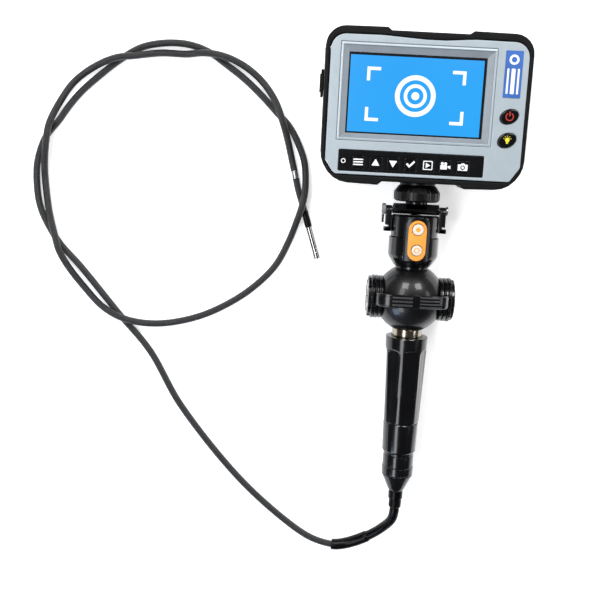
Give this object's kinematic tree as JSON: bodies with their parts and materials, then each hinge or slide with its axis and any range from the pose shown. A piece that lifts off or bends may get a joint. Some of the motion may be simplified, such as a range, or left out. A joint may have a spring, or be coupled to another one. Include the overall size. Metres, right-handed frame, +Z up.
{
  "type": "inspection camera",
  "caption": "Hand-held articulating videoscope: monitor on a tilting mount, keypad head, ball joint with thumb lever, fluted grip and a thin insertion tube with a steerable camera tip.",
  "frame": {"origin": "below the middle of the scope without its cable, on the surface it lies on", "axes": "+Y along the handle from the cable end to the monitor, +Z up out of the screen, +X to the screen's right"},
  "size_m": [0.4142, 0.4644, 0.058],
  "materials": {
    "rubber": "soft black rubber, fine texture",
    "bezel_silver": "satin silver-grey paint on plastic",
    "gloss_black": "glossy black plastic",
    "satin_black": "satin black anodised",
    "nickel": "polished nickel plate",
    "steel": "fine-turned stainless steel",
    "orange": "satin orange silicone",
    "white": "satin off-white",
    "keycaps": "black keys with pale symbols",
    "screen": "lit blue display",
    "glass": "clear cover glass with a black border",
    "label": "plain blue plate",
    "board": "green circuit board",
    "cell": "shrink-wrapped battery",
    "cable": "satin black woven sheath"
  },
  "bodies": {
    "handle": {"cheek_left": "satin_black", "cheek_right": "satin_black", "hinge_pin": "steel", "head_upper": "gloss_black", "head_lower": "gloss_black", "button_panel": "gloss_black", "button_pad": "orange", "ball_front": "satin_black", "ball_back": "satin_black", "bearing_left": "gloss_black", "bearing_right": "gloss_black", "collar_ring": "nickel", "grip_shell": "gloss_black", "grip_lower": "gloss_black", "end_ring": "gloss_black", "end_cone": "gloss_black", "strain_relief": "rubber", "chassis_tube": "steel", "relief_boot": "rubber", "insertion_tube": "cable", "probe_band": "steel", "bend_sleeve": "cable"},
    "tilt_mount": {"tilt_block": "steel"},
    "lock_ring": {"lock_ring": "satin_black"},
    "monitor": {"rear_shell": "rubber", "rubber_bumper": "rubber", "front_bezel": "bezel_silver", "screen_surround": "bezel_silver", "screen_glass": "glass", "lcd_panel": "screen", "button_strip": "gloss_black", "label_plate": "label", "main_board": "board", "battery_pack": "cell", "battery_cover": "rubber", "cover_screw_left": "steel", "cover_screw_right": "steel", "usb_port": "steel", "mount_flange": "satin_black"},
    "port_cover": {"port_cover": "rubber"},
    "power_button": {"power_button": "gloss_black"},
    "lamp_button": {"lamp_button": "gloss_black"},
    "capture_button": {"capture_button": "white"},
    "rotate_button": {"rotate_button": "white"},
    "lever": {"lever_yoke": "gloss_black", "cap_left": "gloss_black", "cap_right": "gloss_black", "lever_shaft": "steel", "wire_drum": "steel"},
    "bend_link_1": {"bend_link_1": "cable"},
    "bend_link_2": {"bend_link_2": "cable"},
    "tip": {"tip_body": "steel", "tip_lens": "glass"},
    "key_1": {"key_1": "keycaps"},
    "key_2": {"key_2": "keycaps"},
    "key_3": {"key_3": "keycaps"},
    "key_4": {"key_4": "keycaps"},
    "key_5": {"key_5": "keycaps"},
    "key_6": {"key_6": "keycaps"},
    "key_7": {"key_7": "keycaps"}
  },
  "joints": [
    {"name": "monitor_tilt", "type": "hinge", "parent": "handle", "child": "tilt_mount", "pos_m": [0.00126, 0.05971, 0.0268], "axis": [1, 0, 0], "range_deg": [-30, 30]},
    {"name": "monitor_swivel", "type": "hinge", "parent": "tilt_mount", "child": "monitor", "pos_m": [0.00126, 0.07912, 0.0268], "axis": [0, 1, 0], "range_deg": [-90, 90]},
    {"name": "lock_ring_turn", "type": "hinge", "parent": "tilt_mount", "child": "lock_ring", "pos_m": [0.00126, 0.07211, 0.0268], "axis": [0, 1, 0], "range_deg": [0, 45]},
    {"name": "port_cover_hinge", "type": "hinge", "parent": "monitor", "child": "port_cover", "pos_m": [-0.08364, 0.16012, 0.0188], "axis": [0, -1, 0], "range_deg": [0, 130]},
    {"name": "lever_turn", "type": "hinge", "parent": "handle", "child": "lever", "pos_m": [0.00126, -0.01588, 0.0268], "axis": [1, 0, 0], "range_deg": [-30, 30]},
    {"name": "key_1_press", "type": "slide", "parent": "monitor", "child": "key_1", "axis": [0, 0, -1], "range_m": [0, 0.0007], "stiffness_N_per_m": 900},
    {"name": "key_2_press", "type": "slide", "parent": "monitor", "child": "key_2", "axis": [0, 0, -1], "range_m": [0, 0.0007], "stiffness_N_per_m": 900},
    {"name": "key_3_press", "type": "slide", "parent": "monitor", "child": "key_3", "axis": [0, 0, -1], "range_m": [0, 0.0007], "stiffness_N_per_m": 900},
    {"name": "key_4_press", "type": "slide", "parent": "monitor", "child": "key_4", "axis": [0, 0, -1], "range_m": [0, 0.0007], "stiffness_N_per_m": 900},
    {"name": "key_5_press", "type": "slide", "parent": "monitor", "child": "key_5", "axis": [0, 0, -1], "range_m": [0, 0.0007], "stiffness_N_per_m": 900},
    {"name": "key_6_press", "type": "slide", "parent": "monitor", "child": "key_6", "axis": [0, 0, -1], "range_m": [0, 0.0007], "stiffness_N_per_m": 900},
    {"name": "key_7_press", "type": "slide", "parent": "monitor", "child": "key_7", "axis": [0, 0, -1], "range_m": [0, 0.0007], "stiffness_N_per_m": 900},
    {"name": "power_button_press", "type": "slide", "parent": "monitor", "child": "power_button", "axis": [0, 0, -1], "range_m": [0, 0.001], "stiffness_N_per_m": 900},
    {"name": "lamp_button_press", "type": "slide", "parent": "monitor", "child": "lamp_button", "axis": [0, 0, -1], "range_m": [0, 0.001], "stiffness_N_per_m": 900},
    {"name": "capture_button_press", "type": "slide", "parent": "handle", "child": "capture_button", "axis": [0, 0, -1], "range_m": [0, 0.0008], "stiffness_N_per_m": 900},
    {"name": "rotate_button_press", "type": "slide", "parent": "handle", "child": "rotate_button", "axis": [0, 0, -1], "range_m": [0, 0.0008], "stiffness_N_per_m": 900},
    {"name": "bend_1", "type": "hinge", "parent": "handle", "child": "bend_link_1", "pos_m": [-0.09199, 0.0494, 0.0031], "axis": [-0.9511, -0.309, 0], "range_deg": [-35, 35]},
    {"name": "bend_2", "type": "hinge", "parent": "bend_link_1", "child": "bend_link_2", "pos_m": [-0.0906, 0.04512, 0.0031], "axis": [-0.9511, -0.309, 0], "range_deg": [-35, 35]},
    {"name": "bend_3", "type": "hinge", "parent": "bend_link_2", "child": "tip", "pos_m": [-0.08874, 0.03941, 0.0031], "axis": [-0.9511, -0.309, 0], "range_deg": [-35, 35]}
  ],
  "couplings": [
    {"joint": "bend_1", "follows": "lever_turn", "ratio": 1.166},
    {"joint": "bend_2", "follows": "lever_turn", "ratio": 1.166},
    {"joint": "bend_3", "follows": "lever_turn", "ratio": 1.166}
  ]
}
